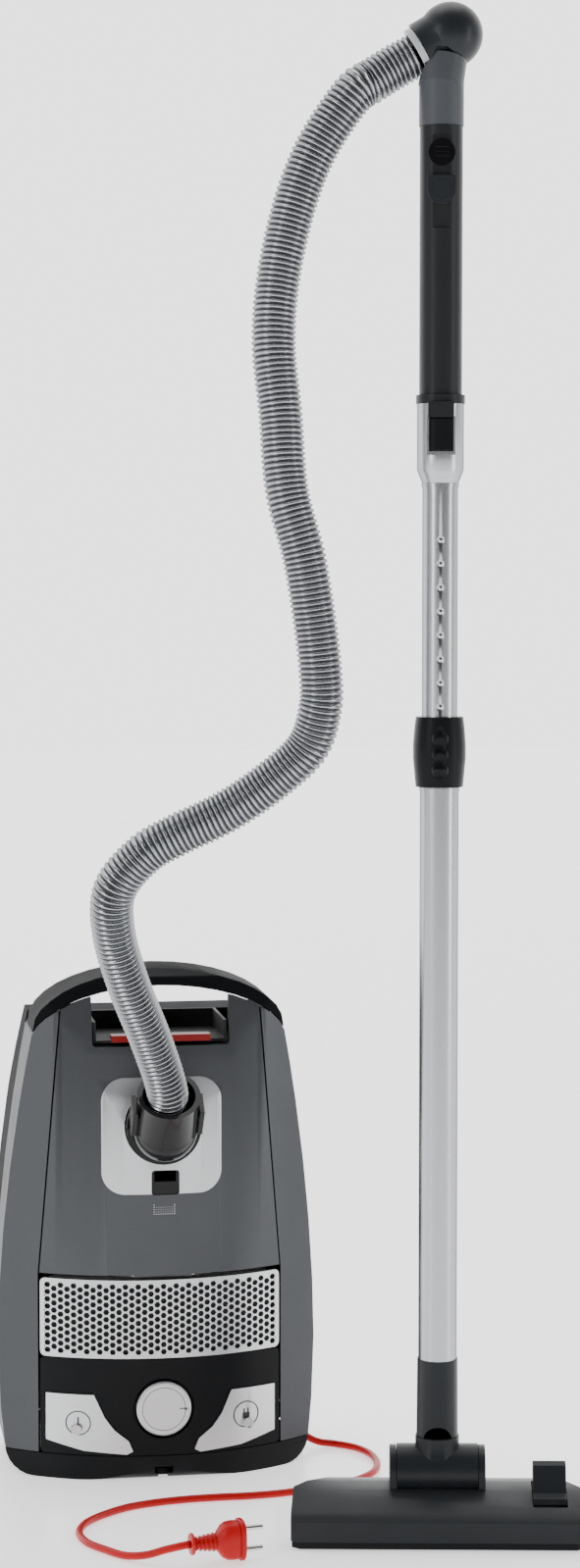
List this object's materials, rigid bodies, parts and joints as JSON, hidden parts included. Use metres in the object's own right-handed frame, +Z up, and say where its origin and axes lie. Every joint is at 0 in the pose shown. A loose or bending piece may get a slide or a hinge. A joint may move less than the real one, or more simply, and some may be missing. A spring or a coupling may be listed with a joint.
{
  "type": "canister vacuum cleaner",
  "caption": "Canister vacuum cleaner parked on its rear end, with hinged dust lid, hose, telescopic wand, pivoting floor head and a red mains cord.",
  "frame": {"origin": "centre of the canister's rear end, where it stands on the floor in its parking position", "axes": "+Z up along the canister and the wand, -Y out of the lid, +X to the right seen from the lid side"},
  "size_m": [0.5099, 0.4865, 1.383],
  "materials": {
    "grey_shell": "metallic grey lacquer over plastic, semi gloss",
    "black_shell": "satin black moulded plastic",
    "inner_plastic": "dark grey moulded plastic",
    "silver_plastic": "silver painted plastic, satin",
    "gloss_black": "gloss black plastic",
    "charcoal": "charcoal moulded plastic, satin",
    "neck_grey": "mid grey moulded plastic",
    "rubber": "black rubber",
    "foam": "filter foam and fleece",
    "bag": "fleece dust bag",
    "card": "pressed cardboard",
    "steel": "bright steel",
    "aluminium": "satin anodised aluminium",
    "red_plastic": "red plastic",
    "cord_red": "red cord sheath and plug",
    "pins": "nickel-plated brass",
    "hose_silver": "silver grey corrugated plastic",
    "board": "printed circuit board",
    "motor_white": "pale heat-resistant plastic",
    "copper": "copper windings and pressed impeller",
    "bristle": "black brush strip"
  },
  "bodies": {
    "canister": {"lower_housing": "black_shell", "side_panel_left": "grey_shell", "side_panel_right": "grey_shell", "carry_handle": "black_shell", "handle_recess": "black_shell", "rear_bumper": "black_shell", "dust_chamber": "inner_plastic", "chamber_seal": "rubber", "dust_bag": "bag", "bag_plate": "card", "filters": "foam", "motor_housing": "motor_white", "motor_mounts": "rubber", "exhaust_grille": "silver_plastic", "control_panel": "black_shell", "circuit_board": "board", "reel_frame": "inner_plastic", "steel_pins": "steel", "housing_screws": "steel", "hose": "hose_silver", "mains_cord": "cord_red", "cord_gland": "rubber", "plug_body": "cord_red", "plug_pins": "pins"},
    "lid": {"dust_lid": "grey_shell", "connector_plate": "silver_plastic", "port_ring": "gloss_black", "bag_window": "gloss_black"},
    "lid_latch": {"lid_latch": "red_plastic"},
    "connector": {"hose_connector": "gloss_black"},
    "tab_left": {"tab_left": "gloss_black"},
    "tab_right": {"tab_right": "gloss_black"},
    "power_pedal": {"power_pedal": "silver_plastic"},
    "rewind_pedal": {"rewind_pedal": "silver_plastic"},
    "suction_dial": {"suction_dial": "silver_plastic"},
    "rotor": {"motor_rotor": "copper"},
    "reel": {"cord_reel": "motor_white", "wound_cord": "cord_red"},
    "wheel_left": {"wheel_left": "inner_plastic", "tyre_left": "rubber"},
    "wheel_right": {"wheel_right": "inner_plastic", "tyre_right": "rubber"},
    "caster": {"caster_fork": "inner_plastic"},
    "caster_wheel": {"caster_wheel": "rubber"},
    "wand": {"hose_ball": "charcoal", "handle_neck": "neck_grey", "handle_grip": "black_shell", "upper_tube": "aluminium"},
    "hose_end": {"hose_cuff": "silver_plastic"},
    "air_slider": {"air_slider": "gloss_black"},
    "handle_button": {"handle_button": "charcoal"},
    "latch_button": {"latch_button": "black_shell"},
    "lower_wand": {"lower_tube": "aluminium", "tool_neck": "charcoal"},
    "sleeve": {"telescope_sleeve": "black_shell"},
    "tool_pivot": {"pivot_housing": "charcoal"},
    "floor_head": {"head_shell": "charcoal", "head_sole": "black_shell"},
    "brushes": {"head_brushes": "bristle"},
    "head_pedal": {"head_pedal": "charcoal"}
  },
  "joints": [
    {"name": "lid_hinge", "type": "hinge", "parent": "canister", "child": "lid", "pos_m": [0, -0.0895, 0.2], "axis": [1, 0, 0], "range_deg": [0, 60], "deforming": ["hose"]},
    {"name": "latch_lift", "type": "hinge", "parent": "lid", "child": "lid_latch", "pos_m": [0, -0.066, 0.4295], "axis": [-1, 0, 0], "range_deg": [0, 8], "stiffness_Nm_per_rad": 0.3},
    {"name": "connector_swivel", "type": "hinge", "parent": "lid", "child": "connector", "pos_m": [0, -0.1, 0.346], "axis": [0, -1, 0], "continuous": true},
    {"name": "tab_left_press", "type": "slide", "parent": "connector", "child": "tab_left", "axis": [1, 0, 0], "range_m": [0, 0.0016], "stiffness_N_per_m": 400},
    {"name": "tab_right_press", "type": "slide", "parent": "connector", "child": "tab_right", "axis": [-1, 0, 0], "range_m": [0, 0.0016], "stiffness_N_per_m": 400},
    {"name": "power_pedal_press", "type": "slide", "parent": "canister", "child": "power_pedal", "axis": [0, 1, 0], "range_m": [0, 0.004], "stiffness_N_per_m": 900},
    {"name": "rewind_pedal_press", "type": "slide", "parent": "canister", "child": "rewind_pedal", "axis": [0, 1, 0], "range_m": [0, 0.004], "stiffness_N_per_m": 900},
    {"name": "dial_turn", "type": "hinge", "parent": "canister", "child": "suction_dial", "pos_m": [0, -0.09, 0.07], "axis": [0, -1, 0], "range_deg": [-135, 135]},
    {"name": "rotor_spin", "type": "hinge", "parent": "canister", "child": "rotor", "pos_m": [0.038, 0.006, 0.1], "axis": [0, 0, 1], "continuous": true},
    {"name": "reel_spin", "type": "hinge", "parent": "canister", "child": "reel", "pos_m": [-0.062, 0, 0.098], "axis": [0, 1, 0], "continuous": true},
    {"name": "wheel_left_roll", "type": "hinge", "parent": "canister", "child": "wheel_left", "pos_m": [-0.112, 0.067, 0.095], "axis": [1, 0, 0], "continuous": true},
    {"name": "wheel_right_roll", "type": "hinge", "parent": "canister", "child": "wheel_right", "pos_m": [0.112, 0.067, 0.095], "axis": [1, 0, 0], "continuous": true},
    {"name": "caster_swivel", "type": "hinge", "parent": "canister", "child": "caster", "pos_m": [0, 0.06, 0.396], "axis": [0, 1, 0], "continuous": true},
    {"name": "caster_roll", "type": "hinge", "parent": "caster", "child": "caster_wheel", "pos_m": [0, 0.093, 0.386], "axis": [1, 0, 0], "continuous": true},
    {"name": "wand_lift", "type": "slide", "parent": "canister", "child": "wand", "axis": [0, 0, 1], "range_m": [0, 0.25], "deforming": ["hose"]},
    {"name": "hose_swivel", "type": "hinge", "parent": "wand", "child": "hose_end", "pos_m": [0.23761, -0.28454, 1.354], "axis": [-0.8529, 0.1504, -0.5], "continuous": true},
    {"name": "air_slide", "type": "slide", "parent": "wand", "child": "air_slider", "axis": [0, 0, -1], "range_m": [0, 0.006]},
    {"name": "handle_button_press", "type": "slide", "parent": "wand", "child": "handle_button", "axis": [0.1736, 0.9848, 0], "range_m": [0, 0.0012], "stiffness_N_per_m": 400},
    {"name": "latch_button_press", "type": "slide", "parent": "wand", "child": "latch_button", "axis": [0.1736, 0.9848, 0], "range_m": [0, 0.002], "stiffness_N_per_m": 500},
    {"name": "telescope", "type": "slide", "parent": "wand", "child": "lower_wand", "axis": [0, 0, 1], "range_m": [0, 0.17]},
    {"name": "sleeve_unlock", "type": "slide", "parent": "lower_wand", "child": "sleeve", "axis": [0, 0, 1], "range_m": [0, 0.006], "stiffness_N_per_m": 300},
    {"name": "tool_swivel", "type": "hinge", "parent": "lower_wand", "child": "tool_pivot", "pos_m": [0.228, -0.293, 0.088], "axis": [0, 0, 1], "range_deg": [-90, 90]},
    {"name": "head_tilt", "type": "hinge", "parent": "tool_pivot", "child": "floor_head", "pos_m": [0.228, -0.293, 0.058], "axis": [0.9848, -0.1736, 0], "range_deg": [0, 60]},
    {"name": "brush_pedal", "type": "hinge", "parent": "floor_head", "child": "head_pedal", "pos_m": [0.32365, -0.3322, 0.032], "axis": [0.9848, -0.1736, 0], "range_deg": [0, 8]},
    {"name": "brush_lift", "type": "slide", "parent": "floor_head", "child": "brushes", "axis": [0, 0, 1], "range_m": [0, 0.003]}
  ],
  "couplings": [
    {"joint": "brush_lift", "follows": "brush_pedal", "m_per_rad": 0.02077}
  ]
}
